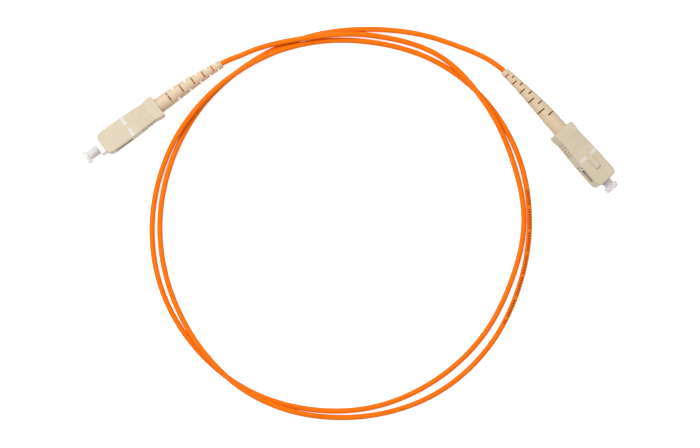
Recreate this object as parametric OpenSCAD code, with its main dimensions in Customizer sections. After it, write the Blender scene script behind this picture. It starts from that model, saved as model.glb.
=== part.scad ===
// Simplex fibre optic patch cord: a loose coil of cable with a push-pull SC plug on each end.
// The origin lies on the surface that the cord rests on, at the middle of the box around both plugs.
// Each plug is drawn along X with its nose forward; "depth" is the distance behind the nose of its frame.

/* [Cable] */
// Diameter of the cable jacket
cord_d = 2.0; // [1.9:0.05:2.0]
// Wall of the cable jacket
jacket_wall = 0.3; // [0.25:0.05:0.35]
// Diameter of the tight buffer around the fibre
buffer_d = 0.9; // [0.8:0.05:0.9]

/* [Outer housing] */
// Length of the outer housing
housing_l = 25.3; // [25.0:0.1:25.6]
// Width of the outer housing across its key face
housing_w = 9.0; // [8.9:0.1:9.2]
// Height of the outer housing without its key
housing_h = 7.4; // [7.3:0.1:7.6]
// How far the housing slides along the frame
housing_travel = 2.1; // [1.5:0.1:2.2]
// Narrowing of the grip on each side
grip_waist = 0.5; // [0.3:0.05:0.6]
// Number of grooves in each side of the grip
side_grooves = 5; // [3:1:6]
// Number of fine grooves across each face of the grip
face_grooves = 8; // [4:1:9]
// Width of the polarising key
key_w = 2.0; // [1.8:0.1:2.2]
// Length of the polarising key
key_l = 5.1; // [4.5:0.1:5.5]
// Height of the polarising key
key_h = 0.75; // [0.6:0.05:0.8]

/* [Plug frame] */
// Width of the plug frame
frame_w = 6.0; // [5.9:0.1:6.2]
// Length of the plug frame
frame_l = 19.5; // [19.0:0.1:19.5]

/* [Ferrule] */
// Length of the ferrule
ferrule_l = 10.5; // [10.3:0.1:10.7]
// How far the ferrule stands out of the frame
ferrule_out = 3.25; // [3.0:0.05:3.25]
// Number of coils in the ferrule spring
spring_turns = 7; // [5:1:8]

/* [Boot] */
// Diameter of the boot where it enters the housing
boot_root_d = 5.9; // [5.7:0.1:6.0]
// Diameter of the boot at its tip
boot_tip_d = 3.2; // [3.1:0.1:3.4]
// Width of each slot in the boot
slot_w = 0.65; // [0.55:0.05:0.75]
// Number of slot stations along the boot
slot_stations = 10; // [6:1:10]

/* [Dust cap] */
// Outer diameter of the dust cap's tube
cap_d = 3.75; // [3.6:0.05:3.9]
// Diameter of the dust cap's grip
cap_grip_d = 5.3; // [5.0:0.1:5.6]
// Length of the dust cap
cap_l = 7.4; // [7.2:0.1:7.5]

/* [Hidden] */
$fn = 48;
eps = 0.01;
cut = 20;  // longer than anything it cuts through

// Where the nose of each plug's frame lies, and how the plug is turned: [roll, pitch, heading]
plug_a_nose = [-93.75, -9.2, 5.1];
plug_a_turn = [180, 2.9, 216.4];
plug_b_nose = [95.35, -20.5, 4.47];
plug_b_turn = [-11.5, 0, -48.3];
// How far each boot is turned about its plug's axis
boot_a_turn = -8;
boot_b_turn = -37;

// Plug A's housing is drawn back on its frame, and its cap is not pushed fully home
housing_a_back = housing_travel;
cap_a_out = 6.0;
cap_b_out = 4.2;

// The coil: radius about its centre at every 20 degrees, clockwise from the 120 degree line near plug A
coil_centre = [-3.65, -36.3];
coil_start = 120;
coil_step = 20;
coil_radii = [
    72.6, 70.1, 71.1, 72.6, 70.2, 68.7, 68.9, 67.8, 68.4,
    69.2, 70.4, 71.1, 71.9, 71.9, 71.6, 70.6, 69.6, 68.6,
    68.1, 68.3, 68.6, 70.1, 71.1, 71.3, 71.0, 71.3, 72.7,
    73.6, 73.4, 73.1, 72.3, 70.1, 68.6, 67.7, 67.3, 67.8,
    68.7, 70.7, 73.5, 78.1
];
// Where the cord is lifted over another strand, and last where it rises to plug B:
// [middle, half length, ramp, lift], all but the lift in degrees of travel from the start of the coil
cross_lift = 2.1;
humps = [
    [16, 29, 16, cross_lift],
    [75, 24, 18, cross_lift],
    [349, 34, 16, cross_lift],
    [602, 31, 16, cross_lift],
    [800, 55, 52, 3.46]
];
rings_per_step = 2;

// Cable section: flats of the eight-sided tubes lie on their true diameters
cord_sides = 8;
yarn_gap = 0.04;
jacket_bore_d = cord_d - 2 * jacket_wall;

// Depths of the pieces inside a plug
ledge_front = 3.6;
ledge_rear = 4.2;
flange_rear = 6.4;
flange_tail_end = 15.0;
barrel_front = 14.6;
collar_front = 19.6;
collar_rear = 21.2;
post_end = 28.0;
crimp_step = 28.6;
crimp_end = 31.6;
jacket_end = 28.9;
buffer_end = 9.5;
boot_front = 21.4;
boot_taper = 31.5;
boot_tip = 55.8;

// Bores and diameters of the pieces inside a plug
ferrule_d = 2.5;
frame_h = 5.9;
sleeve_bore_d = 4.9;
ledge_bore_d = 3.3;
flange_d = 4.5;
flange_bore_d = 4.7;
tail_d = 3.1;
tail_bore_d = 1.15;
spring_wire_d = 0.5;
spring_mean_r = 1.93;
barrel_d = 4.6;
barrel_bore_d = 3.4;
collar_d = 5.7;
post_d = 3.4;
post_bore_d = 1.6;
fold_wall = 0.22;
crimp_wall = 0.28;
fit_gap = 0.02;
boot_root_bore_d = 4.7;
boot_tip_bore_d = 2.4;
fibre_d = 0.125;

// The housing's windows, marks and grip, measured behind its own front face
cavity_l = 19.8;
cavity_w = 7.2;
cavity_h = 6.1;
grip_cavity_front = 10.6;
grip_cavity_w = 6.4;
rear_bore_d = 6.4;
window_front = 3.0;
window_rear = 10.3;
window_h = 4.6;
latch_front = 8.4;
latch_rear = 10.2;
mark_front = 10.9;
mark_w = 1.3;
mark_gap = 2.0;
mark_depth = 0.1;
key_front = 5.5;
nose_chamfer = [1.8, 1.15];
housing_corner = 0.5;
grip_front = 15.0;
grip_rear = 21.2;
band_front = 22.8;
side_groove_w = 0.6;
side_groove_h = 6.2;
side_groove = 0.35;
face_groove_w = 0.3;
face_groove = 0.1;

// Boot slots: the first station, the first gap, and how much each gap is shorter than the one before
slot_first = 32.5;
slot_gap = 2.9;
slot_gap_less = 0.137;

// ---------- Placing ----------

module at_plug(nose, turn) {
    translate(nose)
        rotate([0, 0, turn[2]])
            rotate([0, -turn[1], 0])
                rotate([turn[0], 0, 0])
                    children();
}

module at_a() { at_plug(plug_a_nose, plug_a_turn) children(); }
module at_b() { at_plug(plug_b_nose, plug_b_turn) children(); }

// A point on a plug's axis, in the part's frame
function forward(turn) = [cos(turn[1]) * cos(turn[2]), cos(turn[1]) * sin(turn[2]), sin(turn[1])];
function on_axis(nose, turn, depth) = nose - depth * forward(turn);

// A round bar between two depths
module rod(from, to, d) {
    translate([-to, 0, 0])
        rotate([0, 90, 0])
            cylinder(d = d, h = to - from);
}

// A block between two depths
module block(from, to, w, h) {
    translate([-to, -w / 2, -h / 2])
        cube([to - from, w, h]);
}

// A turned shape from [depth, radius] points
module turned(points) {
    rotate([0, -90, 0])
        rotate_extrude()
            polygon([for (p = points) [p[1], p[0]]]);
}

// ---------- Sweeping a round section along a path ----------

function unit(v) = v / norm(v);
function path_direction(points, i) =
    unit(points[min(i + 1, len(points) - 1)] - points[max(i - 1, 0)]);

// One ring of the section; its first flat faces straight down
function ring_points(centre, direction, r, sides) =
    let (
        side = unit(cross([0, 0, 1], direction)),
        up = cross(direction, side),
        corner_r = r / cos(180 / sides)
    )
    [for (k = [0 : sides - 1])
        let (a = 360 * (k + 0.5) / sides - 90)
        centre + corner_r * (cos(a) * side + sin(a) * up)];

function all_rings(points, directions, r, sides) =
    [for (i = [0 : len(points) - 1]) each ring_points(points[i], directions[i], r, sides)];

// Side faces between neighbouring rings, clockwise from outside, or from inside for an inner wall
function skin_faces(rings, sides, first, inner) =
    [for (i = [0 : rings - 2], k = [0 : sides - 1])
        let (
            a = first + i * sides + k,
            b = first + i * sides + (k + 1) % sides,
            quad = inner ? [b, b + sides, a + sides, a] : [a, a + sides, b + sides, b]
        )
        each [[quad[0], quad[1], quad[2]], [quad[0], quad[2], quad[3]]]];

// Ring-shaped end faces between an outer ring and an inner ring
function end_faces(outer, inner, sides, front) =
    [for (k = [0 : sides - 1])
        let (m = (k + 1) % sides)
        each front
            ? [[outer + m, outer + k, inner + k], [outer + m, inner + k, inner + m]]
            : [[outer + k, outer + m, inner + m], [outer + k, inner + m, inner + k]]];

module solid_skin(points, rings, sides) {
    last = (rings - 1) * sides;
    polyhedron(points, concat(
        skin_faces(rings, sides, 0, false),
        [[for (k = [0 : sides - 1]) k]],
        [[for (k = [sides - 1 : -1 : 0]) last + k]]
    ));
}

module hollow_skin(outer_points, inner_points, rings, sides) {
    inner = len(outer_points);
    last = (rings - 1) * sides;
    polyhedron(concat(outer_points, inner_points), concat(
        skin_faces(rings, sides, 0, false),
        skin_faces(rings, sides, inner, true),
        end_faces(0, inner, sides, false),
        end_faces(last, inner + last, sides, true)
    ));
}

// ---------- The cord's route ----------

// A smooth value through a list of values, at place u counted in list steps
function smooth_value(values, u) =
    let (
        last = len(values) - 1,
        i = min(floor(u), last - 1),
        t = u - i,
        before = i > 0 ? values[i - 1] : 2 * values[0] - values[1],
        after = i < last - 1 ? values[i + 2] : 2 * values[last] - values[last - 1],
        slope_here = (values[i + 1] - before) / 2,
        slope_next = (after - values[i]) / 2
    )
    values[i] * (2 * pow(t, 3) - 3 * pow(t, 2) + 1) + slope_here * (pow(t, 3) - 2 * pow(t, 2) + t)
        + values[i + 1] * (3 * pow(t, 2) - 2 * pow(t, 3)) + slope_next * (pow(t, 3) - pow(t, 2));

function ease(t) = let (c = max(0, min(1, t))) c * c * (3 - 2 * c);
function height_at(travel) =
    cord_d / 2 + max([for (h = humps) h[3] * ease((h[1] - abs(travel - h[0])) / h[2])]);

function coil_point(travel) =
    let (r = smooth_value(coil_radii, travel / coil_step), a = coil_start - travel)
    [coil_centre[0] + r * cos(a), coil_centre[1] + r * sin(a), height_at(travel)];

coil_travel = coil_step * (len(coil_radii) - 1);
coil_points = [for (t = [0 : coil_step / rings_per_step : coil_travel]) coil_point(t)];

function route(end_depth) = concat(
    [on_axis(plug_a_nose, plug_a_turn, end_depth), on_axis(plug_a_nose, plug_a_turn, boot_tip)],
    coil_points,
    [on_axis(plug_b_nose, plug_b_turn, boot_tip), on_axis(plug_b_nose, plug_b_turn, end_depth)]
);

// The cord leaves each boot along that plug's axis
function route_directions(points) =
    let (last = len(points) - 1)
    [for (i = [0 : last])
        i < 2 ? -forward(plug_a_turn)
        : i > last - 2 ? forward(plug_b_turn)
        : path_direction(points, i)];

jacket_route = route(jacket_end);
buffer_route = route(buffer_end);

// ---------- Cable ----------

module cable_layer(outer_d, inner_d) {
    directions = route_directions(jacket_route);
    hollow_skin(
        all_rings(jacket_route, directions, outer_d / 2, cord_sides),
        all_rings(jacket_route, directions, inner_d / 2, cord_sides),
        len(jacket_route),
        cord_sides
    );
}

module cable_jacket() {
    color("darkorange")
        cable_layer(cord_d, jacket_bore_d);
}

module aramid_yarn() {
    color("khaki")
        cable_layer(jacket_bore_d - 2 * yarn_gap, buffer_d + 2 * yarn_gap);
}

module buffered_fibre() {
    color("white")
        solid_skin(
            all_rings(buffer_route, route_directions(buffer_route), buffer_d / 2, cord_sides),
            len(buffer_route),
            cord_sides
        );
}

// ---------- Outer housing ----------

// Half of the plan outline runs from the nose to the rear; the other half mirrors it
function housing_half_outline() =
    let (half = housing_w / 2, waist = half - grip_waist)
    [
        [0, half - nose_chamfer[1]],
        [-nose_chamfer[0] * 0.25, half - nose_chamfer[1] * 0.45],
        [-nose_chamfer[0], half],
        [-mark_front, half],
        [-grip_front, half - grip_waist * 0.35],
        [-grip_rear, waist],
        [-band_front, half - grip_waist * 0.2],
        [-housing_l + 0.3, half - grip_waist * 0.2],
        [-housing_l, half - grip_waist * 0.6]
    ];

module housing_plan() {
    half = housing_half_outline();
    mirrored = [for (i = [len(half) - 1 : -1 : 0]) [half[i][0], -half[i][1]]];
    polygon(concat(half, mirrored));
}

module rounded_section(w, h, r) {
    square([w - 2 * r, h], center = true);
    square([w, h - 2 * r], center = true);
    for (sx = [-1, 1], sy = [-1, 1])
        translate([sx * (w / 2 - r), sy * (h / 2 - r)])
            circle(r = r);
}

module housing_block() {
    intersection() {
        translate([0, 0, -housing_h / 2])
            linear_extrude(housing_h)
                housing_plan();
        translate([-housing_l - eps, 0, 0])
            rotate([90, 0, 90])
                linear_extrude(housing_l + 2 * eps)
                    rounded_section(housing_w, housing_h, housing_corner);
    }
}

module key_on_housing() {
    slope = 0.5;
    translate([0, key_w / 2, 0])
        rotate([90, 0, 0])
            linear_extrude(key_w)
                polygon([
                    [-key_front, housing_h / 2 - 0.2],
                    [-key_front, housing_h / 2],
                    [-key_front - slope, housing_h / 2 + key_h],
                    [-key_front - key_l + slope, housing_h / 2 + key_h],
                    [-key_front - key_l, housing_h / 2],
                    [-key_front - key_l, housing_h / 2 - 0.2]
                ]);
}

function groove_depth(i, count) = grip_front + (i + 0.5) * (grip_rear - grip_front) / count;

// Cuts both sides of the grip at a depth
module side_groove_cut(depth) {
    left = housing_w - 2 * grip_waist - 2 * side_groove;
    difference() {
        block(depth - side_groove_w / 2, depth + side_groove_w / 2, cut, side_groove_h);
        block(depth - side_groove_w, depth + side_groove_w, left, cut);
    }
}

// Cuts both faces of the grip at a depth
module face_groove_cut(depth) {
    difference() {
        block(depth - face_groove_w / 2, depth + face_groove_w / 2, cut, cut);
        block(depth - face_groove_w, depth + face_groove_w, cut + eps, housing_h - 2 * face_groove);
    }
}

module housing_mark(side, face) {
    mark_l = housing_w / 2 - mark_gap / 2 - 0.3;
    translate([-mark_front - mark_w, side > 0 ? mark_gap / 2 : -mark_gap / 2 - mark_l,
        face > 0 ? housing_h / 2 - mark_depth : -housing_h / 2])
        cube([mark_w, mark_l, mark_depth]);
}

module housing_marks() {
    color("snow")
        for (side = [-1, 1], face = [-1, 1])
            housing_mark(side, face);
}

module housing() {
    color("wheat")
        difference() {
            union() {
                housing_block();
                key_on_housing();
            }
            block(-eps, grip_cavity_front, cavity_w, cavity_h);
            block(grip_cavity_front - eps, cavity_l, grip_cavity_w, cavity_h);
            rod(cavity_l - eps, housing_l + 1, rear_bore_d);
            block(window_front, window_rear, cut, window_h);
            for (i = [0 : side_grooves - 1])
                side_groove_cut(groove_depth(i, side_grooves));
            for (i = [0 : face_grooves - 1])
                face_groove_cut(groove_depth(i, face_grooves));
            for (side = [-1, 1], face = [-1, 1])
                housing_mark(side, face);
        }
}

// ---------- Plug frame and ferrule ----------

module plug_frame() {
    latch_w = cavity_w + 0.9;
    color("white")
        difference() {
            union() {
                intersection() {
                    block(0, frame_l, frame_w, frame_h);
                    rotate([45, 0, 0])
                        block(-eps, frame_l + eps, frame_w * 1.28, frame_w * 1.28);
                }
                block(latch_front, latch_rear, latch_w, window_h - 0.8);
            }
            rod(-eps, ledge_front, sleeve_bore_d);
            rod(ledge_front - eps, ledge_rear + eps, ledge_bore_d);
            rod(ledge_rear, frame_l + eps, flange_bore_d);
        }
}

module ferrule() {
    r = ferrule_d / 2;
    tip = -ferrule_out;
    color("whitesmoke")
        difference() {
            turned([
                [tip, 0],
                [tip, r * 0.6],
                [tip + 0.5, r],
                [tip + ferrule_l, r],
                [tip + ferrule_l, 0]
            ]);
            rod(tip - eps, tip + ferrule_l + eps, fibre_d + fit_gap);
        }
}

module bare_fibre() {
    color("lightblue")
        rod(-ferrule_out, ferrule_l - ferrule_out + 0.5, fibre_d);
}

module ferrule_flange() {
    ferrule_end = ferrule_l - ferrule_out;
    notch_w = 0.7;
    color("silver")
        difference() {
            union() {
                rod(ledge_rear + 0.05, flange_rear, flange_d);
                rod(flange_rear - eps, flange_tail_end, tail_d);
            }
            rod(0, ferrule_end, ferrule_d + fit_gap);
            rod(ferrule_end - eps, flange_tail_end + eps, tail_bore_d);
            for (a = [0, 90])
                rotate([a, 0, 0])
                    difference() {
                        block(ledge_rear, flange_rear - 0.6, notch_w, cut);
                        block(0, flange_rear, cut, flange_d - 1.0);
                    }
        }
}

module ferrule_spring() {
    per_turn = 12;
    wire_sides = 6;
    wire_r = spring_wire_d / 2;
    front = flange_rear + wire_r + 0.03;
    rear = barrel_front - wire_r - 0.03;
    steps = spring_turns * per_turn;
    points = [for (i = [0 : steps], k = [0 : wire_sides - 1])
        let (
            a = 360 * i / per_turn,
            b = 360 * k / wire_sides,
            r = spring_mean_r + wire_r * cos(b)
        )
        [-(front + (rear - front) * i / steps) - wire_r * sin(b), r * cos(a), r * sin(a)]];
    color("gray")
        solid_skin(points, steps + 1, wire_sides);
}

// ---------- Crimp end ----------

module backbone() {
    ring_pitch = 1.4;
    ring_w = 0.4;
    ring_depth = 0.15;
    tail_room = 2.2;
    color("silver")
        difference() {
            union() {
                rod(barrel_front, collar_front + eps, barrel_d);
                rod(collar_front, collar_rear, collar_d);
                rod(collar_rear - eps, post_end, post_d);
            }
            rod(barrel_front - eps, flange_tail_end + tail_room, barrel_bore_d);
            rod(barrel_front, post_end + eps, post_bore_d);
            for (i = [1 : 4])
                translate([-(collar_rear + i * ring_pitch), 0, 0])
                    difference() {
                        rod(0, ring_w, post_d + 1);
                        rod(-eps, ring_w + eps, post_d - 2 * ring_depth);
                    }
        }
}

module folded_yarn() {
    inner_d = post_d + 2 * fit_gap;
    color("khaki")
        difference() {
            rod(collar_rear + 0.4, post_end - 0.2, inner_d + 2 * fold_wall);
            rod(collar_rear, post_end, inner_d);
        }
}

module crimp_sleeve() {
    big_bore_d = post_d + 2 * fold_wall + 4 * fit_gap;
    small_bore_d = cord_d / cos(180 / cord_sides) + 4 * fit_gap;
    color("lightgray")
        difference() {
            union() {
                rod(collar_rear + 0.3, crimp_step, big_bore_d + 2 * crimp_wall);
                rod(crimp_step - eps, crimp_end, small_bore_d + 2 * crimp_wall);
            }
            rod(collar_rear, crimp_step - crimp_wall, big_bore_d);
            rod(crimp_step - crimp_wall - eps, crimp_end + eps, small_bore_d);
        }
}

// ---------- Boot ----------

boot_outline = [
    [boot_taper, boot_root_d / 2],
    [boot_taper + 7, boot_root_d * 0.45],
    [boot_taper + 13, boot_root_d * 0.39],
    [boot_taper + 19, boot_tip_d * 0.59],
    [boot_tip, boot_tip_d / 2]
];

function slot_depth(i) = slot_first + i * slot_gap - slot_gap_less * i * (i - 1) / 2;

// The bore tapers from the crimp to the cable
function bore_r_at(depth) =
    let (t = min(1, (depth - crimp_end) / (boot_tip - 3 - crimp_end)))
    (boot_root_bore_d - 0.4 + t * (boot_tip_bore_d + 0.4 - boot_root_bore_d)) / 2;

module boot(first_slot_angle) {
    color("bisque")
        difference() {
            turned(concat([[boot_front, 0], [boot_front, boot_root_d / 2]], boot_outline, [[boot_tip, 0]]));
            turned([
                [boot_front - 1, 0],
                [boot_front - 1, boot_root_bore_d / 2],
                [crimp_end + 0.3, boot_root_bore_d / 2],
                [crimp_end + 0.3, bore_r_at(crimp_end)],
                [boot_tip - 3, boot_tip_bore_d / 2],
                [boot_tip + 1, boot_tip_bore_d / 2],
                [boot_tip + 1, 0]
            ]);
            for (i = [0 : slot_stations - 1], side = [0, 180])
                rotate([first_slot_angle + 90 * (i % 2) + side, 0, 0])
                    translate([-slot_depth(i) - slot_w / 2, -cut / 2, 0.85 * bore_r_at(slot_depth(i))])
                        cube([slot_w, cut, cut]);
        }
}

// ---------- Dust cap ----------

module dust_cap(out) {
    grip_l = 1.8;
    grip_edge = 0.4;
    end_wall = 0.85;
    color("thistle")
        difference() {
            union() {
                rod(-out + grip_l - eps, cap_l - out, cap_d);
                turned([
                    [-out, 0],
                    [-out, cap_grip_d / 2 - grip_edge],
                    [-out + grip_edge, cap_grip_d / 2],
                    [-out + grip_l - grip_edge, cap_grip_d / 2],
                    [-out + grip_l, cap_grip_d / 2 - grip_edge],
                    [-out + grip_l, 0]
                ]);
            }
            rod(-out + end_wall, cap_l - out + eps, ferrule_d + 2 * fit_gap);
        }
}

// ---------- The part ----------

cable_jacket();
aramid_yarn();
buffered_fibre();

at_a() translate([-housing_a_back, 0, 0]) housing();  // housing_a
at_a() translate([-housing_a_back, 0, 0]) housing_marks();  // housing_marks_a
at_a() plug_frame();  // plug_frame_a
at_a() ferrule();  // ferrule_a
at_a() ferrule_flange();  // ferrule_flange_a
at_a() bare_fibre();  // bare_fibre_a
at_a() ferrule_spring();  // ferrule_spring_a
at_a() backbone();  // backbone_a
at_a() folded_yarn();  // folded_yarn_a
at_a() crimp_sleeve();  // crimp_sleeve_a
at_a() boot(boot_a_turn);  // boot_a
at_a() dust_cap(cap_a_out);  // dust_cap_a

at_b() housing();  // housing_b
at_b() housing_marks();  // housing_marks_b
at_b() plug_frame();  // plug_frame_b
at_b() ferrule();  // ferrule_b
at_b() ferrule_flange();  // ferrule_flange_b
at_b() bare_fibre();  // bare_fibre_b
at_b() ferrule_spring();  // ferrule_spring_b
at_b() backbone();  // backbone_b
at_b() folded_yarn();  // folded_yarn_b
at_b() crimp_sleeve();  // crimp_sleeve_b
at_b() boot(boot_b_turn);  // boot_b
at_b() dust_cap(cap_b_out);  // dust_cap_b
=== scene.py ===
"""Looks of a simplex fibre optic patch cord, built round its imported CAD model.

Shapes are worked out in millimetres and turned into metres as each mesh is made. Each plug is drawn
along X with its nose forward, and "depth" is the distance behind the nose of its frame.
"""

import math

import bmesh
import bpy
from mathutils import Matrix, Vector


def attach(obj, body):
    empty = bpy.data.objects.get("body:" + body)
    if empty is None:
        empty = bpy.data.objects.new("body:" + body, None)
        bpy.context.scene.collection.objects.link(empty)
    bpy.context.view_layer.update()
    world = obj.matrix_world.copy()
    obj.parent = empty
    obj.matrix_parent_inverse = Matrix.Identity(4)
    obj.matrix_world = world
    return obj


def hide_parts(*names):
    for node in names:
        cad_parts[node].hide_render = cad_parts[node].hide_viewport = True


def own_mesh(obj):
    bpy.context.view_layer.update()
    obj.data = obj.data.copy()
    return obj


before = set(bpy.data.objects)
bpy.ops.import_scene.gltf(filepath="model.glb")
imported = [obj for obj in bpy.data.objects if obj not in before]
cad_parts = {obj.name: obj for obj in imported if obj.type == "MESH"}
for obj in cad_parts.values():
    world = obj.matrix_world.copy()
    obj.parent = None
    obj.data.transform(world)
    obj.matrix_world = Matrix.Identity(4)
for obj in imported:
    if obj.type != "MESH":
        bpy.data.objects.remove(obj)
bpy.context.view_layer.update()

MM = 0.001


# ---------- Where the plugs lie, as in the CAD ----------


class Plug:
    """One plug: its place, and how its loose pieces stand."""

    def __init__(self, end, nose, turn, housing_back, cap_out, first_slot, boot_bend):
        self.end = end
        self.housing_back = housing_back
        self.cap_out = cap_out
        self.first_slot = first_slot
        self.boot_bend = boot_bend
        roll, pitch, heading = (math.radians(a) for a in turn)
        self.matrix = (
            Matrix.Translation(nose)
            @ Matrix.Rotation(heading, 4, "Z")
            @ Matrix.Rotation(-pitch, 4, "Y")
            @ Matrix.Rotation(roll, 4, "X")
        )

    def place(self, point):
        return self.matrix @ Vector(point)


HOUSING_TRAVEL = 2.1
PLUG_A = Plug("a", (-93.75, -9.2, 5.1), (180, 2.9, 216.4), HOUSING_TRAVEL, 6.0, -8, 1.0)
PLUG_B = Plug("b", (95.35, -20.5, 4.47), (-11.5, 0, -48.3), 0, 4.2, -37, 1.3)
PLUGS = (PLUG_A, PLUG_B)
ROOT = "cord_and_plug_cores"


# ---------- Mesh helpers ----------


def new_mesh(name, points, faces, material=None):
    """A mesh object from points in millimetres, which stays in millimetres until it is placed."""
    mesh = bpy.data.meshes.new(name)
    mesh.from_pydata(points, [], faces)
    mesh.update()
    obj = bpy.data.objects.new(name, mesh)
    bpy.context.scene.collection.objects.link(obj)
    if material:
        mesh.materials.append(material)
    return obj


def placed(obj, matrix=None):
    """Moves a mesh to its place by a matrix in millimetres, and turns it into metres."""
    obj.data.transform(Matrix.Scale(MM, 4) @ (matrix or Matrix.Identity(4)))
    return obj


def outward(obj):
    """Turns every face's front outward."""
    bm = bmesh.new()
    bm.from_mesh(obj.data)
    bmesh.ops.recalc_face_normals(bm, faces=bm.faces)
    bm.to_mesh(obj.data)
    bm.free()
    return obj


def shade(obj, sharp_above=30):
    """Smooth shading with crisp edges where faces meet at more than that many degrees."""
    obj.data.shade_smooth()
    obj.data.set_sharp_from_angle(angle=math.radians(sharp_above))
    weighted = obj.modifiers.new("face normals", "WEIGHTED_NORMAL")
    weighted.keep_sharp = True
    return obj


def keep_flat(obj):
    """Flat shading for the faces that lie square to the plug's axes, before it is placed."""
    for face in obj.data.polygons:
        if max(abs(part) for part in face.normal) > 0.9998:
            face.use_smooth = False
    return obj


def soften_edges(obj, width):
    """Rounds the moulded edges, before any other modifier."""
    bevel = obj.modifiers.new("moulded edges", "BEVEL")
    bevel.width = width * MM
    bevel.segments = 2
    bevel.limit_method = "ANGLE"
    bevel.angle_limit = math.radians(40)
    bevel.harden_normals = False
    return obj


def loft(sections):
    """Points and faces of a closed solid through sections with equal numbers of points."""
    count = len(sections[0])
    points = [p for section in sections for p in section]
    faces = []
    for i in range(len(sections) - 1):
        for k in range(count):
            a, b = i * count + k, i * count + (k + 1) % count
            faces.append((a, b, b + count, a + count))
    faces.append(tuple(range(count - 1, -1, -1)))
    last = (len(sections) - 1) * count
    faces.append(tuple(last + k for k in range(count)))
    return points, faces


def rounded_rectangle(half_w, half_h, r, steps=5):
    """Corner-rounded rectangle as (across, up) pairs, counter-clockwise."""
    pairs = []
    for quarter, (sx, sy) in enumerate([(1, 1), (-1, 1), (-1, -1), (1, -1)]):
        for step in range(steps + 1):
            a = math.radians(90 * (quarter + step / steps))
            pairs.append(
                (sx * (half_w - r) + r * math.cos(a), sy * (half_h - r) + r * math.sin(a))
            )
    return pairs


def turned_solid(profile, sides=64):
    """Points and faces of a turned solid, from a (depth, radius) profile that ends on the axis."""
    inner = profile[1:-1]
    points, faces = [], []
    for k in range(sides):
        a = 2 * math.pi * k / sides
        points += [(-d, r * math.cos(a), r * math.sin(a)) for d, r in inner]
    count = len(inner)
    for k in range(sides):
        a, b = k * count, ((k + 1) % sides) * count
        for i in range(count - 1):
            faces.append((a + i, a + i + 1, b + i + 1, b + i))
    faces.append(tuple(k * count for k in range(sides)))
    faces.append(tuple(k * count + count - 1 for k in range(sides - 1, -1, -1)))
    return points, faces


def combine(obj, other, operation):
    """Cuts other out of obj, or joins it on, and removes other."""
    outward(obj)
    outward(other)
    boolean = obj.modifiers.new("shape", "BOOLEAN")
    boolean.operation = operation
    boolean.solver = "EXACT"
    boolean.object = other
    bpy.context.view_layer.update()
    evaluated = obj.evaluated_get(bpy.context.evaluated_depsgraph_get())
    mesh = bpy.data.meshes.new_from_object(evaluated)
    obj.modifiers.remove(boolean)
    old = obj.data
    obj.data = mesh
    mesh.name = old.name
    bpy.data.meshes.remove(old)
    bpy.data.objects.remove(other)
    return obj


def cut(obj, shape):
    return combine(obj, new_mesh("cutter", *shape), "DIFFERENCE")


def add(obj, shape):
    return combine(obj, new_mesh("addition", *shape), "UNION")


def assign(obj, body, slot, *nodes):
    """obj rides on a CAD body and stands for these CAD nodes, which are hidden. The slot is not
    used.
    """
    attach(obj, body)
    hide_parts(*nodes)
    return obj


# ---------- Colours ----------


def linear(r, g, b):
    """A displayed colour, 0 to 255, as the shader's linear colour."""

    def one(v):
        v /= 255
        return v / 12.92 if v <= 0.04045 else ((v + 0.055) / 1.055) ** 2.4

    return (one(r), one(g), one(b), 1)


JACKET_LOW = (0.857, 0.157, 0.0019, 1)
JACKET_HIGH = (0.915, 0.181, 0.0030, 1)
PRINT_INK = (0.21, 0.010, 0.002, 1)
HOUSING_LOW = (0.584, 0.507, 0.370, 1)
HOUSING_HIGH = (0.617, 0.535, 0.394, 1)
BOOT_LOW = (0.621, 0.481, 0.324, 1)
BOOT_HIGH = (0.668, 0.522, 0.356, 1)
MARK_LOW = (0.664, 0.603, 0.549, 1)
MARK_HIGH = (0.712, 0.639, 0.585, 1)
CAP_LOW = (0.847, 0.815, 0.807, 1)
CAP_HIGH = (0.936, 0.898, 0.886, 1)
FRAME_LOW = (0.742, 0.696, 0.679, 1)
FRAME_HIGH = (0.800, 0.754, 0.737, 1)
ZIRCONIA_LOW = linear(236, 234, 228)
ZIRCONIA_HIGH = linear(246, 245, 240)
YARN_LOW = linear(214, 184, 92)
YARN_HIGH = linear(232, 206, 122)
BUFFER_LOW = linear(228, 226, 220)
BUFFER_HIGH = linear(240, 238, 232)
SPRING_STEEL = linear(168, 170, 174)
NICKEL = linear(206, 200, 188)
NICKEL_BODY = linear(198, 192, 180)
CRIMP_METAL = linear(188, 188, 190)

# The printed dashes: where on the cord's line they start, then lengths in millimetres along it
PRINT_FIRST_POINT = 500
PRINT_LENGTH = 52
PRINT_PITCH = 1.0
PRINT_GROUP = 8.6
# The parts of each pitch and of each group that are inked
PRINT_DASH = 0.7
PRINT_GROUP_FILLED = 0.86
# Half the angle that a dash spans round the cord
PRINT_HALF_ANGLE = 27


# ---------- Materials ----------


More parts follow.
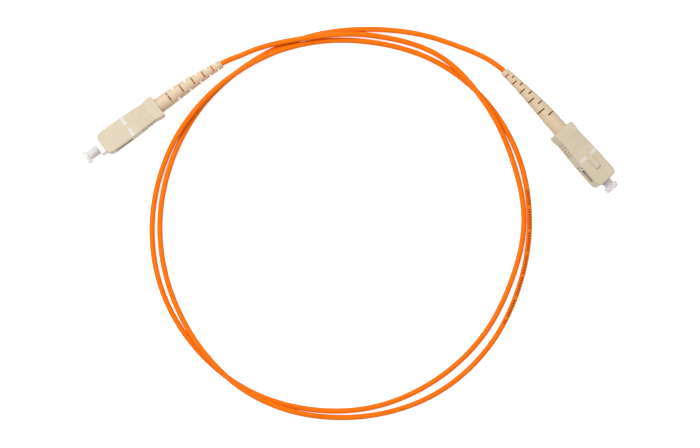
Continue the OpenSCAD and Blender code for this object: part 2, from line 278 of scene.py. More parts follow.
class Look:
    """A node material with a Principled shader, and short ways to add detail to it."""

    def __init__(self, name, **sockets):
        self.material = bpy.data.materials.new(name)
        self.material.use_nodes = True
        self.tree = self.material.node_tree
        self.shader = self.tree.nodes["Principled BSDF"]
        for socket, value in sockets.items():
            self.shader.inputs[socket.replace("_", " ")].default_value = value
        self.place = self.node("ShaderNodeTexCoord").outputs["Object"]

    def node(self, kind, **settings):
        made = self.tree.nodes.new(kind)
        for key, value in settings.items():
            setattr(made, key, value)
        return made

    def link(self, source, target):
        self.tree.links.new(source, target)

    def noise(self, scale, detail=3, roughness=0.5, vector=None):
        made = self.node("ShaderNodeTexNoise")
        made.inputs["Scale"].default_value = scale
        made.inputs["Detail"].default_value = detail
        made.inputs["Roughness"].default_value = roughness
        self.link(vector or self.place, made.inputs["Vector"])
        return made.outputs["Fac"]

    def ramp(self, value, low, high, start=0.3, end=0.7):
        """Maps a value to a colour between low and high."""
        made = self.node("ShaderNodeValToRGB")
        made.color_ramp.elements[0].position = start
        made.color_ramp.elements[1].position = end
        made.color_ramp.elements[0].color = low
        made.color_ramp.elements[1].color = high
        self.link(value, made.inputs["Fac"])
        return made.outputs["Color"]

    def to_range(self, value, low, high, start=0.3, end=0.7):
        made = self.node("ShaderNodeMapRange")
        made.inputs["From Min"].default_value = start
        made.inputs["From Max"].default_value = end
        made.inputs["To Min"].default_value = low
        made.inputs["To Max"].default_value = high
        self.link(value, made.inputs["Value"])
        return made.outputs["Result"]

    def math(self, operation, a, b=None):
        made = self.node("ShaderNodeMath", operation=operation)
        for socket, value in zip(made.inputs, (a, b)):
            if value is None:
                continue
            if isinstance(value, (int, float)):
                socket.default_value = value
            else:
                self.link(value, socket)
        return made.outputs["Value"]

    def mix(self, factor, a, b):
        """Mixes two colours or colour outputs by a factor output."""
        made = self.node("ShaderNodeMix", data_type="RGBA")
        self.link(factor, made.inputs["Factor"])
        colour_sockets = [s for s in made.inputs if s.type == "RGBA"]
        for socket, value in zip(colour_sockets, (a, b)):
            if isinstance(value, tuple):
                socket.default_value = value
            else:
                self.link(value, socket)
        return [s for s in made.outputs if s.type == "RGBA"][0]

    def bump(self, height, depth_mm):
        made = self.node("ShaderNodeBump")
        made.inputs["Strength"].default_value = 1
        made.inputs["Distance"].default_value = depth_mm * MM
        self.link(height, made.inputs["Height"])
        self.link(made.outputs["Normal"], self.shader.inputs["Normal"])

    def set(self, socket, source):
        self.link(source, self.shader.inputs[socket])


def moulded(name, low, high, rough, grain=2600, mottle=420, depth=0.006, **sockets):
    """Moulded plastic: slight mottling of colour and gloss, and the mould's fine grain."""
    look = Look(name, **sockets)
    look.set("Base Color", look.ramp(look.noise(mottle, 4), low, high))
    look.set("Roughness", look.to_range(look.noise(grain * 0.4, 2), rough - 0.05, rough + 0.06))
    look.bump(look.noise(grain, 3, 0.6), depth)
    return look.material


def jacket_material(print_start):
    """Orange PVC with drawing streaks along it and a row of plain printed dashes on one stretch."""
    streak_stretch = 40
    look = Look("orange_jacket", Roughness=0.42, Specular_IOR_Level=0.05)
    lay = look.node("ShaderNodeAttribute", attribute_name="lay")
    split = look.node("ShaderNodeSeparateXYZ")
    look.link(lay.outputs["Vector"], split.inputs[0])
    around_x, around_y, along = split.outputs
    stretched = look.node("ShaderNodeCombineXYZ")
    look.link(around_x, stretched.inputs[0])
    look.link(around_y, stretched.inputs[1])
    look.link(look.math("MULTIPLY", along, streak_stretch), stretched.inputs[2])
    streaks = look.noise(5, 3, 0.5, stretched.outputs[0])
    orange = look.ramp(streaks, JACKET_LOW, JACKET_HIGH)

    place = look.math("FRACT", look.math("MULTIPLY", along, 1 / (PRINT_PITCH * MM)))
    in_group = look.math("FRACT", look.math("MULTIPLY", along, 1 / (PRINT_GROUP * MM)))
    dash = look.math(
        "MULTIPLY",
        look.math("LESS_THAN", place, PRINT_DASH),
        look.math("LESS_THAN", in_group, PRINT_GROUP_FILLED),
    )
    on_top = look.math("GREATER_THAN", around_y, math.cos(math.radians(PRINT_HALF_ANGLE)))
    after = look.math("GREATER_THAN", along, print_start * MM)
    before = look.math("LESS_THAN", along, (print_start + PRINT_LENGTH) * MM)
    in_run = look.math("MULTIPLY", after, before)
    printed = look.math("MULTIPLY", look.math("MULTIPLY", dash, on_top), in_run)
    faded = look.math("MULTIPLY", printed, look.to_range(look.noise(2200, 2), 0.55, 0.9))
    look.set("Base Color", look.mix(faded, orange, PRINT_INK))
    look.bump(look.noise(7000, 2, 0.5), 0.004)
    return look.material


def cap_material():
    """Cloudy polyethylene that lets some light through."""
    look = Look(
        "cloudy_cap",
        Transmission_Weight=0.5,
        IOR=1.45,
        Specular_IOR_Level=0.4,
    )
    look.set("Base Color", look.ramp(look.noise(300, 3), CAP_LOW, CAP_HIGH))
    look.set("Roughness", look.to_range(look.noise(900, 2), 0.36, 0.5))
    look.bump(look.noise(2200, 3), 0.008)
    return look.material


def zirconia_material():
    look = Look("zirconia", Specular_IOR_Level=0.7, Coat_Weight=0.3, Coat_Roughness=0.08)
    look.set("Base Color", look.ramp(look.noise(700, 3), ZIRCONIA_LOW, ZIRCONIA_HIGH))
    look.set("Roughness", look.to_range(look.noise(1800, 2), 0.14, 0.22))
    look.bump(look.noise(9000, 2), 0.001)
    return look.material


def glass_material():
    look = Look("glass_fibre", Transmission_Weight=1.0, IOR=1.46, Base_Color=(0.95, 0.98, 1.0, 1))
    look.set("Roughness", look.to_range(look.noise(4000, 2), 0.02, 0.06))
    return look.material


def turned_metal(name, colour, rough):
    """Metal with fine tool marks and small changes of gloss."""
    look = Look(name, Metallic=1.0)
    darker = tuple(c * 0.86 for c in colour[:3]) + (1,)
    look.set("Base Color", look.ramp(look.noise(1500, 3), darker, colour))
    look.set("Roughness", look.to_range(look.noise(3500, 3), rough - 0.06, rough + 0.08))
    look.bump(look.noise(5200, 2, 0.7), 0.003)
    return look.material


# ---------- The cord's route, as in the CAD ----------

CORD_D = 2.0
JACKET_WALL = 0.3
BUFFER_D = 0.9
YARN_GAP = 0.04
COIL_CENTRE = (-3.65, -36.3)
COIL_START = 120
COIL_STEP = 20
COIL_RADII = [
    72.6, 70.1, 71.1, 72.6, 70.2, 68.7, 68.9, 67.8, 68.4,
    69.2, 70.4, 71.1, 71.9, 71.9, 71.6, 70.6, 69.6, 68.6,
    68.1, 68.3, 68.6, 70.1, 71.1, 71.3, 71.0, 71.3, 72.7,
    73.6, 73.4, 73.1, 72.3, 70.1, 68.6, 67.7, 67.3, 67.8,
    68.7, 70.7, 73.5, 78.1,
]  # fmt: skip
COIL_TRAVEL = COIL_STEP * (len(COIL_RADII) - 1)
CROSS_LIFT = 2.1
# Where the cord climbs: middle, half length and ramp in degrees of coil, and lift in millimetres
HUMPS = [
    (16, 29, 16, CROSS_LIFT),
    (75, 24, 18, CROSS_LIFT),
    (349, 34, 16, CROSS_LIFT),
    (602, 31, 16, CROSS_LIFT),
    (800, 55, 52, 3.46),
]
BOOT_TAPER = 31.5
BOOT_TIP = 55.8
JACKET_END = 28.9
BUFFER_END = 9.5


def smooth_value(values, u):
    """A smooth value through a list of values, at place u counted in list steps."""
    last = len(values) - 1
    i = min(math.floor(u), last - 1)
    t = u - i
    before = values[i - 1] if i > 0 else 2 * values[0] - values[1]
    after = values[i + 2] if i < last - 1 else 2 * values[last] - values[last - 1]
    slope_here = (values[i + 1] - before) / 2
    slope_next = (after - values[i]) / 2
    return (
        values[i] * (2 * t**3 - 3 * t**2 + 1)
        + slope_here * (t**3 - 2 * t**2 + t)
        + values[i + 1] * (3 * t**2 - 2 * t**3)
        + slope_next * (t**3 - t**2)
    )


def ease(t):
    c = max(0, min(1, t))
    return c * c * (3 - 2 * c)


def height_at(travel):
    return CORD_D / 2 + max(
        lift * ease((half - abs(travel - middle)) / ramp) for middle, half, ramp, lift in HUMPS
    )


def coil_point(travel):
    r = smooth_value(COIL_RADII, travel / COIL_STEP)
    a = math.radians(COIL_START - travel)
    return Vector(
        (COIL_CENTRE[0] + r * math.cos(a), COIL_CENTRE[1] + r * math.sin(a), height_at(travel))
    )


def boot_sag(plug, depth):
    """How far the boot's axis has bent aside at a depth."""
    t = max(0, (depth - BOOT_TAPER) / (BOOT_TIP - BOOT_TAPER))
    return -plug.boot_bend * t * t


def axis_point(plug, depth):
    return plug.place((-depth, boot_sag(plug, depth), 0))


def axis_direction(plug, depth):
    """Along the bent axis, away from the nose."""
    return (axis_point(plug, depth + 0.1) - axis_point(plug, depth)).normalized()


def lead(start, start_direction, end, end_direction, steps):
    """Points between start and end on a curve that leaves and arrives in the given directions."""
    pull = (end - start).length
    points = []
    for i in range(1, steps):
        t = i / steps
        points.append(
            start * (2 * t**3 - 3 * t**2 + 1)
            + start_direction * pull * (t**3 - 2 * t**2 + t)
            + end * (3 * t**2 - 2 * t**3)
            + end_direction * pull * (t**3 - t**2)
        )
    return points


def cord_line(end_depth):
    """The cord's centreline from inside plug A to inside plug B."""
    in_boot = int((BOOT_TIP - end_depth) / 1.25)
    depths = [end_depth + (BOOT_TIP - end_depth) * i / in_boot for i in range(in_boot + 1)]
    turns = int(COIL_TRAVEL)
    coil = [coil_point(COIL_TRAVEL * i / turns) for i in range(turns + 1)]
    out_of_a = [axis_point(PLUG_A, d) for d in depths]
    into_b = [axis_point(PLUG_B, d) for d in reversed(depths)]
    first = lead(
        out_of_a[-1],
        axis_direction(PLUG_A, BOOT_TIP),
        coil[0],
        (coil[1] - coil[0]).normalized(),
        steps=8,
    )
    last = lead(
        coil[-1],
        (coil[-1] - coil[-2]).normalized(),
        into_b[0],
        -axis_direction(PLUG_B, BOOT_TIP),
        steps=20,
    )
    return out_of_a + first + coil + last + into_b


def tube(name, line, outer_d, inner_d, sides, material):
    """A round tube along a line. Its "lay" holds each point's place around and along it."""
    points, faces, lay = [], [], []
    radii = [outer_d / 2] + ([inner_d / 2] if inner_d else [])
    count = len(line)
    up_axis = Vector((0, 0, 1))
    for wall, r in enumerate(radii):
        travelled = 0
        base = len(points)
        for i, centre in enumerate(line):
            ahead, behind = line[min(i + 1, count - 1)], line[max(i - 1, 0)]
            direction = (ahead - behind).normalized()
            side = up_axis.cross(direction).normalized()
            up = direction.cross(side)
            if i:
                travelled += (centre - line[i - 1]).length
            for k in range(sides):
                a = 2 * math.pi * k / sides
                points.append(centre + r * (math.cos(a) * side + math.sin(a) * up))
                lay.append((math.cos(a), math.sin(a), travelled * MM))
        for i in range(count - 1):
            for k in range(sides):
                a, b = base + i * sides + k, base + i * sides + (k + 1) % sides
                quad = (a, a + sides, b + sides, b)
                faces.append(quad if wall == 0 else quad[::-1])
    last = (count - 1) * sides
    if inner_d:
        inner = count * sides
        for k in range(sides):
            m = (k + 1) % sides
            faces.append((k, m, inner + m, inner + k))
            faces.append((last + m, last + k, inner + last + k, inner + last + m))
    else:
        faces.append(tuple(range(sides)))
        faces.append(tuple(last + k for k in range(sides - 1, -1, -1)))
    obj = outward(placed(new_mesh(name, points, faces, material)))
    attribute = obj.data.attributes.new("lay", "FLOAT_VECTOR", "POINT")
    attribute.data.foreach_set("vector", [v for triple in lay for v in triple])
    obj.data.shade_smooth()
    obj.data.set_sharp_from_angle(angle=math.radians(50))
    return obj


def run_length(points):
    return sum((b - a).length for a, b in zip(points, points[1:]))


# ---------- Outer housing, measured behind its own front face ----------

HOUSING_L = 25.3
HOUSING_HALF_W = 4.5
HOUSING_HALF_H = 3.7
HOUSING_CORNER = 0.5
NOSE_CHAMFER = (1.8, 1.15)
GRIP_FRONT = 15.0
GRIP_REAR = 21.2
GRIP_WAIST = 0.5
BAND_FRONT = 22.8
SIDE_GROOVES = 5
SIDE_GROOVE_W = 0.6
SIDE_GROOVE = 0.35
FACE_GROOVES = 8
SIDE_GROOVE_HALF_H = 3.1
FACE_GROOVE_W = 0.34
FACE_GROOVE = 0.08
CAVITY_L = 19.8
CAVITY_HALF_W = 3.6
GRIP_CAVITY_FRONT = 10.6
GRIP_CAVITY_HALF_W = 3.2
CAVITY_HALF_H = 3.05
REAR_BORE_R = 3.2
WINDOW_FRONT = 3.0
WINDOW_REAR = 10.3
WINDOW_HALF_H = 2.3
MARK_FRONT = 10.9
MARK_W = 1.3
MARK_GAP = 2.0
MARK_DEPTH = 0.1
KEY_FRONT = 5.5
KEY_L = 5.1
KEY_HALF_W = 1.0
KEY_H = 0.75
MOUTH_CHAMFER = 0.15
# The ends are rounded by this much, over this length
END_ROUNDING = 0.22
END_ROUNDING_L = 0.3
# How far a corner of the plan is smoothed, before the grip and over it
NOSE_BLUR = 0.12
GRIP_BLUR = 0.5
# How much shorter a side groove's floor is than its rim, at each end
GROOVE_END_SLOPE = 0.15

def housing_plan():
    """Half width of the housing at the corners of its plan."""
    half = HOUSING_HALF_W
    return [
        (0, half - NOSE_CHAMFER[1]),
        (NOSE_CHAMFER[0] * 0.25, half - NOSE_CHAMFER[1] * 0.45),
        (NOSE_CHAMFER[0], half),
        (MARK_FRONT, half),
        (GRIP_FRONT, half - GRIP_WAIST * 0.35),
        (GRIP_REAR, half - GRIP_WAIST),
        (BAND_FRONT, half - GRIP_WAIST * 0.2),
        (HOUSING_L - 0.3, half - GRIP_WAIST * 0.2),
        (HOUSING_L, half - GRIP_WAIST * 0.6),
    ]


def along_plan(plan, depth):
    """Straight-line value between the corners of a plan."""
    for (d0, v0), (d1, v1) in zip(plan, plan[1:]):
        if depth <= d1:
            return v0 + (v1 - v0) * max(0, depth - d0) / (d1 - d0)
    return plan[-1][1]


def groove_at(depth, count, width):
    """How far down a groove of the grip a depth is: 0 on a rib, 1 on a groove's floor."""
    pitch = (GRIP_REAR - GRIP_FRONT) / count
    if not GRIP_FRONT < depth < GRIP_REAR:
        return 0
    off = abs((depth - GRIP_FRONT) % pitch - pitch / 2)
    return ease((width / 2 - off) / (width * 0.28))


def housing_depths():
    """Where the housing's sections lie: close together over the grip, with the ends rounded."""
    fine, coarse = 0.07, 0.6
    depths = [0, 0.06, 0.15, 0.3, 0.45, 0.7, 1.1, 1.5, 1.8, 2.1]
    d = 2.6
    while d < GRIP_FRONT:
        depths.append(d)
        d += coarse
    d = GRIP_FRONT
    while d < GRIP_REAR:
        depths.append(d)
        d += fine
    depths += [GRIP_REAR + step for step in (0, 0.2, 0.5, 1.0, 1.6, 2.3, 2.9)]
    depths += [HOUSING_L - step for step in (0.9, 0.6, 0.4, 0.3, 0.2, 0.1, 0.04, 0)]
    return depths


def housing_section(depth):
    plan = housing_plan()
    blur = NOSE_BLUR if depth < GRIP_FRONT or depth > HOUSING_L - 1 else GRIP_BLUR
    half_w = sum(along_plan(plan, depth + off) for off in (-blur, 0, blur)) / 3
    end = min(depth, HOUSING_L - depth)
    rounding = END_ROUNDING * (1 - min(1, end / END_ROUNDING_L)) ** 2
    half_w -= rounding * 0.5
    half_h = HOUSING_HALF_H - FACE_GROOVE * groove_at(depth, FACE_GROOVES, FACE_GROOVE_W) - rounding
    pairs = rounded_rectangle(half_w, half_h, HOUSING_CORNER)
    floor = half_w - SIDE_GROOVE * groove_at(depth, SIDE_GROOVES, SIDE_GROOVE_W)
    rim_z = min(SIDE_GROOVE_HALF_H, half_h - HOUSING_CORNER - 0.03)
    floor_z = rim_z - GROOVE_END_SLOPE
    wall = [(half_w, -rim_z), (floor, -floor_z), (floor, floor_z), (half_w, rim_z)]
    halfway = len(pairs) // 2
    pairs = pairs[:halfway] + [(-y, -z) for y, z in wall] + pairs[halfway:] + wall
    return [(-depth, y, z) for y, z in pairs]


def key_shape():
    slope = 0.5
    base = HOUSING_HALF_H - 0.2
    top = HOUSING_HALF_H + KEY_H
    edge = 0.12

    def ring(height, inset_l, inset_w):
        front, rear, half = KEY_FRONT + inset_l, KEY_FRONT + KEY_L - inset_l, KEY_HALF_W - inset_w
        corners = rounded_rectangle((rear - front) / 2, half, 0.18, 3)
        middle = (front + rear) / 2
        return [(-middle + x, y, height) for x, y in corners]

    return loft(
        [
            ring(base, 0, 0),
            ring(HOUSING_HALF_H, 0, 0),
            ring(top - edge, slope - edge, 0),
            ring(top, slope, edge),
        ]
    )


def window_cutter():
    """Through both sides, with a small chamfer round each outer rim."""
    middle = (WINDOW_FRONT + WINDOW_REAR) / 2
    half_l = (WINDOW_REAR - WINDOW_FRONT) / 2

    def ring(y, grow):
        pairs = rounded_rectangle(half_l + grow, WINDOW_HALF_H + grow, 0.35 + grow, 4)
        return [(-middle + x, y, z) for x, z in pairs]

    rim = HOUSING_HALF_W
    return loft(
        [
            ring(-rim - 1, MOUTH_CHAMFER),
            ring(-rim, MOUTH_CHAMFER),
            ring(-rim + MOUTH_CHAMFER, 0),
            ring(rim - MOUTH_CHAMFER, 0),
            ring(rim, MOUTH_CHAMFER),
            ring(rim + 1, MOUTH_CHAMFER),
        ]
    )


def cavity_cutter():
    """Wide over the frame's latches, and narrower inside the grip."""

    def ring(depth, half_w, grow=0):
        pairs = rounded_rectangle(half_w + grow, CAVITY_HALF_H + grow, 0.4, 4)
        return [(-depth, y, z) for y, z in pairs]

    step = GRIP_CAVITY_FRONT
    return loft(
        [
            ring(-1, CAVITY_HALF_W, MOUTH_CHAMFER),
            ring(0, CAVITY_HALF_W, MOUTH_CHAMFER),
            ring(MOUTH_CHAMFER, CAVITY_HALF_W),
            ring(step, CAVITY_HALF_W),
            ring(step + 0.3, GRIP_CAVITY_HALF_W),
            ring(CAVITY_L, GRIP_CAVITY_HALF_W),
        ]
    )


def rear_bore_cutter():
    r, rear = REAR_BORE_R, HOUSING_L
    return turned_solid(
        [
            (CAVITY_L - 0.5, 0),
            (CAVITY_L - 0.5, r),
            (rear - MOUTH_CHAMFER, r),
            (rear, r + MOUTH_CHAMFER),
            (rear + 1, r + MOUTH_CHAMFER),
            (rear + 1, 0),
        ]
    )


def mark_block(side, face, low, high, margin):
    """A flat block on one of the four mark places, between two heights above the housing's face."""
    start, end = MARK_GAP / 2, HOUSING_HALF_W - HOUSING_CORNER * 0.85
    half_l, half_w = (end - start) / 2 - margin, MARK_W / 2 - margin
    middle = side * (start + end) / 2
    pairs = rounded_rectangle(half_w, half_l, 0.12, 3)
    centre = -MARK_FRONT - MARK_W / 2
    return loft(
        [
            [(centre + x, middle + y, face * (HOUSING_HALF_H + z)) for x, y in pairs]
            for z in (low, high)
        ]
    )


def at_housing(plug):
    return plug.matrix @ Matrix.Translation((-plug.housing_back, 0, 0))


def make_housing(plug, material):
    sections = [housing_section(d) for d in housing_depths()]
    obj = new_mesh(f"housing_{plug.end}_shell", *loft(sections), material)
    add(obj, key_shape())
    cut(obj, cavity_cutter())
    cut(obj, rear_bore_cutter())
    cut(obj, window_cutter())
    for side in (-1, 1):
        for face in (-1, 1):
            cut(obj, mark_block(side, face, -MARK_DEPTH, 0.5, 0))
    keep_flat(shade(obj))
    placed(obj, at_housing(plug))
    return assign(obj, f"outer_housing_{plug.end}", "housing", f"housing_{plug.end}")


def make_marks(plug, material):
    """The four white inlays, in one piece for each housing."""
    points, faces = [], []
    for side in (-1, 1):
        for face in (-1, 1):
            more, more_faces = mark_block(side, face, -MARK_DEPTH + 0.005, 0.01, 0.006)
            faces += [tuple(i + len(points) for i in f) for f in more_faces]
            points += more
    obj = placed(new_mesh(f"housing_{plug.end}_marks", points, faces, material), at_housing(plug))
    shade(outward(obj))
    return assign(
        obj, f"outer_housing_{plug.end}", "white_paint", f"housing_marks_{plug.end}"
    )


# ---------- Plug frame ----------

FRAME_HALF_W = 3.0
FRAME_HALF_H = 2.95
FRAME_L = 19.5
FRAME_CORNER = 0.52
LATCH_FRONT = 8.4
LATCH_REAR = 10.2
LATCH_HALF_W = 4.05
LATCH_HALF_H = 1.9
SLIT_HALF_L = 0.26
SLIT_HALF_H = 1.25
SLIT_FLOOR = 3.3
# The bore: open at the nose, narrow at the stop that holds the flange back, wide behind it
NOSE_BORE_R = 2.45
NOSE_BORE_CHAMFER = 0.2
STOP_FRONT = 3.6
STOP_REAR = 4.2
STOP_R = 1.65
REAR_R = 2.35

def frame_section(depth, inset):
    """Rectangle with cut corners."""
    w, h, c = FRAME_HALF_W - inset, FRAME_HALF_H - inset, FRAME_CORNER
    upper = [(w, h - c), (w - c, h), (c - w, h), (-w, h - c)]
    lower = [(-y, -z) for y, z in upper]
    return [(-depth, y, z) for y, z in upper + lower]


def latch_block():
    def ring(y, inset):
        half_l = (LATCH_REAR - LATCH_FRONT) / 2 - inset
        middle = (LATCH_FRONT + LATCH_REAR) / 2
        pairs = rounded_rectangle(half_l, LATCH_HALF_H - inset, 0.15, 3)
        return [(-middle + x, y, z) for x, z in pairs]

    edge = 0.15
    w = LATCH_HALF_W
    return loft([ring(-w, edge), ring(-w + edge, 0), ring(w - edge, 0), ring(w, edge)])


def slit(side):
    """The narrow slit in the face of each latch block."""
    middle = (LATCH_FRONT + LATCH_REAR) / 2
    pairs = rounded_rectangle(SLIT_HALF_L, SLIT_HALF_H, 0.12, 3)
    return loft(
        [[(-middle + x, side * y, z) for x, z in pairs] for y in (SLIT_FLOOR, LATCH_HALF_W + 1)]
    )


def frame_bore():
    return turned_solid(
        [
            (-1, 0),
            (-1, NOSE_BORE_R + NOSE_BORE_CHAMFER),
            (0, NOSE_BORE_R + NOSE_BORE_CHAMFER),
            (NOSE_BORE_CHAMFER, NOSE_BORE_R),
            (STOP_FRONT, NOSE_BORE_R),
            (STOP_FRONT, STOP_R),
            (STOP_REAR, STOP_R),
            (STOP_REAR, REAR_R),
            (FRAME_L + 1, REAR_R),
            (FRAME_L + 1, 0),
        ]
    )


def make_frame(plug, material):
    edge = 0.22
    sections = [
        frame_section(0, edge),
        frame_section(edge * 0.3, edge * 0.35),
        frame_section(edge, 0),
        frame_section(FRAME_L - edge, 0),
        frame_section(FRAME_L, edge),
    ]
    obj = new_mesh(f"plug_{plug.end}_frame", *loft(sections), material)
    add(obj, latch_block())
    cut(obj, frame_bore())
    for side in (-1, 1):
        cut(obj, slit(side))
    shade(placed(obj, plug.matrix))
    return assign(obj, ROOT, "frame", f"plug_frame_{plug.end}")


# ---------- Dust cap ----------

CAP_L = 7.4
CAP_R = 1.875
CAP_GRIP_R = 2.65
CAP_GRIP_L = 1.8
CAP_WALL = 0.85
CAP_DISH = 0.12
CAP_ROUNDING = 0.55
CAP_CLEARANCE = 0.02
FERRULE_R = 1.25


def filleted(profile):
    """(depth, radius) pairs with the corners rounded, from (depth, radius, rounding) triples."""
    steps = 5
    result = [profile[0][:2]]
    for before, corner, after in zip(profile, profile[1:], profile[2:]):
        rounding = corner[2]
        before, corner, after = Vector(before[:2]), Vector(corner[:2]), Vector(after[:2])
        if rounding == 0:
            result.append(tuple(corner))
            continue
        reach = min(rounding, (before - corner).length * 0.48, (after - corner).length * 0.48)
        u, v = (before - corner).normalized() * reach, (after - corner).normalized() * reach
        for i in range(steps + 1):
            t = i / steps
            result.append(tuple(corner + u * (1 - t) ** 2 + v * t**2))
    return result + [profile[-1][:2]]


def cap_profile(out):
    """A short round grip with a shallow dish in its end, then the tube over the ferrule."""
    front, step, rear = -out, -out + CAP_GRIP_L, -out + CAP_L
    dish_floor = front + CAP_DISH
    bore = FERRULE_R + CAP_CLEARANCE
    return filleted(
        [
            (dish_floor, 0, 0),
            (dish_floor, CAP_GRIP_R * 0.55, 0.2),
            (front, CAP_GRIP_R * 0.65, 0.15),
            (front, CAP_GRIP_R, CAP_ROUNDING),
            (step, CAP_GRIP_R, CAP_ROUNDING),
            (step, CAP_R, 0.15),
            (rear, CAP_R, 0.15),
            (rear, bore, 0.1),
            (front + CAP_WALL, bore, 0.3),
            (front + CAP_WALL, 0, 0),
        ]
    )


def make_cap(plug, material):
    shape = turned_solid(cap_profile(plug.cap_out), 48)
    obj = new_mesh(f"dust_cap_{plug.end}_moulding", *shape, material)
    shade(outward(placed(obj, plug.matrix)), 40)
    return assign(obj, f"cap_{plug.end}", "cap", f"dust_cap_{plug.end}")


# ---------- Boot ----------

BOOT_FRONT = 21.4
BOOT_ROOT_R = 2.95
BOOT_TIP_R = 1.6
BOOT_ROOT_BORE_R = 2.35
BOOT_THROAT_R = 1.5
BOOT_TIP_BORE_R = 1.06
CRIMP_END = 31.6
SLOT_W = 0.5
SLOT_FIRST = 32.5
SLOT_GAP = 2.9
SLOT_GAP_LESS = 0.137
SLOT_STATIONS = 10
BOOT_COLUMNS = 48
SLOT_COLUMNS = 14
BOOT_EDGE = 0.05


def slot_depth(i):
    return SLOT_FIRST + i * SLOT_GAP - SLOT_GAP_LESS * i * (i - 1) / 2


def boot_outer_r(depth):
    radii = [BOOT_ROOT_R, BOOT_ROOT_R * 0.9, BOOT_ROOT_R * 0.78, BOOT_TIP_R * 1.18, BOOT_TIP_R]
    u = 4 * (depth - BOOT_TAPER) / (BOOT_TIP - BOOT_TAPER)
    body = BOOT_ROOT_R if u <= 0 else smooth_value(radii, u)
    tip_rounding = 0.3 * (1 - min(1, (BOOT_TIP - depth) / 0.4)) ** 2
    return body - tip_rounding


def boot_bore_r(depth):
    if depth < CRIMP_END:
        return BOOT_ROOT_BORE_R
    t = min(1, (depth - CRIMP_END) / (BOOT_TIP - 1.5 - CRIMP_END))
    return BOOT_THROAT_R + t * (BOOT_TIP_BORE_R - BOOT_THROAT_R)


def boot_rings():
    """Depths of the boot's rings, and for each stretch between two the slot it lies in, or None."""
    depths, slots = [BOOT_FRONT, BOOT_FRONT + 0.3], [None]
    for i in range(SLOT_STATIONS):
        front, rear = slot_depth(i) - SLOT_W / 2, slot_depth(i) + SLOT_W / 2
        gap = front - depths[-1]
        steps = max(2, round(gap / 0.8))
        start = depths[-1]
        for k in range(1, steps + 1):
            depths.append(start + gap * k / steps)
            slots.append(None)
        depths.append(rear)
        slots.append(i)
    for depth in (BOOT_TIP - 0.4, BOOT_TIP - 0.2, BOOT_TIP - 0.08, BOOT_TIP):
        depths.append(depth)
        slots.append(None)
    return depths, slots


def slotted(column, station):
    """Whether a column of the boot's wall is cut away at a slot station."""
    if station is None:
        return False
    quarter = BOOT_COLUMNS // 4
    turned_by = quarter * (station % 2)
    return (column + SLOT_COLUMNS // 2 - turned_by) % (2 * quarter) < SLOT_COLUMNS


def make_boot(plug, material):
    """A tube wall laid out in cells, with the cells of the slots left out."""
    depths, slots = boot_rings()
    n = BOOT_COLUMNS
    points = []
    for depth in depths:
        for r in (boot_outer_r(depth), boot_bore_r(depth)):
            for k in range(n):
                # angle 0 looks along the plug's +Z, as the CAD's first slots do
                a = math.radians(plug.first_slot + 360 * k / n)
                points.append(
                    (-depth, -r * math.sin(a) + boot_sag(plug, depth), r * math.cos(a))
                )

    def outer(i, k):
        return 2 * n * i + k % n

    def inner(i, k):
        return 2 * n * i + n + k % n

    def solid(i, k):
        return 0 <= i < len(slots) and not slotted(k % n, slots[i])

    faces = []
    for i in range(len(slots)):
        for k in range(n):
            if not solid(i, k):
                continue
            faces.append((outer(i, k), outer(i, k + 1), outer(i + 1, k + 1), outer(i + 1, k)))
            faces.append((inner(i, k), inner(i + 1, k), inner(i + 1, k + 1), inner(i, k + 1)))
            if not solid(i - 1, k):
                faces.append((outer(i, k), inner(i, k), inner(i, k + 1), outer(i, k + 1)))
            if not solid(i + 1, k):
                j = i + 1
                faces.append((outer(j, k), outer(j, k + 1), inner(j, k + 1), inner(j, k)))
            if not solid(i, k - 1):
                faces.append((outer(i, k), outer(i + 1, k), inner(i + 1, k), inner(i, k)))
            if not solid(i, k + 1):
                m = k + 1
                faces.append((outer(i, m), inner(i, m), inner(i + 1, m), outer(i + 1, m)))
    obj = placed(new_mesh(f"boot_{plug.end}_strain_relief", points, faces, material), plug.matrix)
    bm = bmesh.new()
    bm.from_mesh(obj.data)
    bmesh.ops.delete(bm, geom=[v for v in bm.verts if not v.link_faces], context="VERTS")
    bm.to_mesh(obj.data)
    bm.free()
    soften_edges(outward(obj), BOOT_EDGE)
    shade(obj)
    return assign(obj, ROOT, "boot", f"boot_{plug.end}")


# ---------- Ferrule spring ----------

SPRING_TURNS = 7
SPRING_MEAN_R = 1.93
SPRING_WIRE_R = 0.25
SPRING_FRONT = 6.68
SPRING_REAR = 14.32


def make_spring(plug, material):
    """Round wire in a helix. A real one shortens as the ferrule is pushed in; this one keeps its
    length.
    """
    per_turn, sides = 28, 10
    steps = SPRING_TURNS * per_turn
    sections = []
    for i in range(steps + 1):
        a = 2 * math.pi * i / per_turn
        depth = SPRING_FRONT + (SPRING_REAR - SPRING_FRONT) * i / steps
        ring = []
        for k in range(sides):
            b = 2 * math.pi * k / sides
            r = SPRING_MEAN_R + SPRING_WIRE_R * math.cos(b)
            ring.append((-depth - SPRING_WIRE_R * math.sin(b), r * math.cos(a), r * math.sin(a)))
        sections.append(ring)
    obj = new_mesh(f"ferrule_spring_{plug.end}_coil", *loft(sections), material)
    outward(placed(obj, plug.matrix))
    obj.data.shade_smooth()
    obj.data.set_sharp_from_angle(angle=math.radians(60))
    assign(obj, ROOT, "spring_steel", f"ferrule_spring_{plug.end}")
    anchor = plug.place((-SPRING_REAR, 0, 0))
    ahead = plug.place((-SPRING_FRONT, 0, 0))
    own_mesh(obj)
    return obj


# ---------- Camera ----------

camera = bpy.data.objects.new("camera", bpy.data.cameras.new("camera"))
bpy.context.scene.collection.objects.link(camera)
camera.data.sensor_width = 36
camera.data.lens = 82.3
camera.location = (0, -36.92 * MM, 601.7 * MM)
camera.rotation_euler = (0, 0, 0.002)
camera.data.clip_start = 0.01
camera.data.clip_end = 20
bpy.context.scene.camera = camera

# ---------- The cord ----------

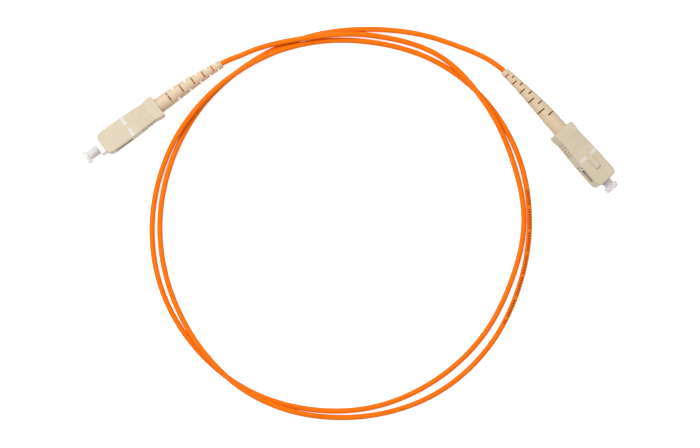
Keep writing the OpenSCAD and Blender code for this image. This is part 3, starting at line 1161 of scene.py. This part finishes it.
line = cord_line(JACKET_END)
jacket = tube(
    "cable_jacket_tube",
    line,
    CORD_D,
    CORD_D - 2 * JACKET_WALL,
    16,
    jacket_material(run_length(line[:PRINT_FIRST_POINT])),
)
yarn_look = moulded("aramid", YARN_LOW, YARN_HIGH, 0.6, mottle=2600, depth=0.03)
yarn = tube(
    "aramid_yarn_layer",
    line,
    CORD_D - 2 * JACKET_WALL - 2 * YARN_GAP,
    BUFFER_D + 2 * YARN_GAP,
    12,
    yarn_look,
)
buffer_look = moulded("buffer", BUFFER_LOW, BUFFER_HIGH, 0.4)
buffered = tube("buffered_fibre_strand", cord_line(BUFFER_END), BUFFER_D, 0, 12, buffer_look)

assign(jacket, ROOT, "jacket", "cable_jacket")
assign(yarn, ROOT, "aramid", "aramid_yarn")
assign(buffered, ROOT, "buffer", "buffered_fibre")
tuple(axis_point(PLUG_A, BOOT_TIP) * MM)

# ---------- The plugs ----------

housing_look = moulded("beige_housing", HOUSING_LOW, HOUSING_HIGH, 0.46, Specular_IOR_Level=0.3)
marks_look = moulded("white_inlay", MARK_LOW, MARK_HIGH, 0.5, depth=0.003)
frame_look = moulded("white_frame", FRAME_LOW, FRAME_HIGH, 0.38)
boot_look = moulded("beige_boot", BOOT_LOW, BOOT_HIGH, 0.58, grain=3400, depth=0.008)
cap_look = cap_material()
spring_look = turned_metal("spring_steel", SPRING_STEEL, 0.32)
cad_looks = {
    "ferrule": zirconia_material(),
    "ferrule_flange": turned_metal("nickel", NICKEL, 0.26),
    "bare_fibre": glass_material(),
    "backbone": turned_metal("nickel_body", NICKEL_BODY, 0.3),
    "folded_yarn": yarn_look,
    "crimp_sleeve": turned_metal("crimp_metal", CRIMP_METAL, 0.34),
}
for plug in PLUGS:
    make_housing(plug, housing_look)
    make_marks(plug, marks_look)
    make_frame(plug, frame_look)
    make_boot(plug, boot_look)
    make_cap(plug, cap_look)
    make_spring(plug, spring_look)
    for node, look in cad_looks.items():
        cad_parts[f"{node}_{plug.end}"].material_slots[0].material = look

# ---------- Floor and light ----------

floor_look = Look(
    "floor",
    Roughness=0.9,
    Specular_IOR_Level=0.0,
    Emission_Color=(1, 1, 1, 1),
    Emission_Strength=0.6,
)
floor_look.set(
    "Base Color",
    floor_look.ramp(floor_look.noise(3, 2), (0.90, 0.90, 0.90, 1), (0.93, 0.93, 0.93, 1)),
)
FLOOR_HALF = 3000
FLOOR_Z = -0.05
corners = [(-1, -1), (1, -1), (1, 1), (-1, 1)]
floor = new_mesh(
    "floor",
    [(x * FLOOR_HALF, y * FLOOR_HALF, FLOOR_Z) for x, y in corners],
    [(0, 1, 2, 3)],
    floor_look.material,
)
placed(floor)
# The floor throws no light back, so that the plugs' side walls stay darker than their tops
floor.visible_diffuse = False

KEY_PLACE = Vector((-0.24, 0.24, 0.62))
KEY_TARGET = Vector((0, -0.03, 0))
key = bpy.data.lights.new("key", "AREA")
key.shape = "SQUARE"
key.size = 0.45
key.energy = 3.7
key_light = bpy.data.objects.new("key", key)
bpy.context.scene.collection.objects.link(key_light)
key_light.location = KEY_PLACE
key_light.rotation_euler = (KEY_TARGET - KEY_PLACE).to_track_quat("-Z", "Y").to_euler()

world = bpy.data.worlds.new("studio")
world.use_nodes = True
world.node_tree.nodes["Background"].inputs["Color"].default_value = (1, 1, 1, 1)
world.node_tree.nodes["Background"].inputs["Strength"].default_value = 0.62
bpy.context.scene.world = world
bpy.context.scene.view_settings.view_transform = "Standard"
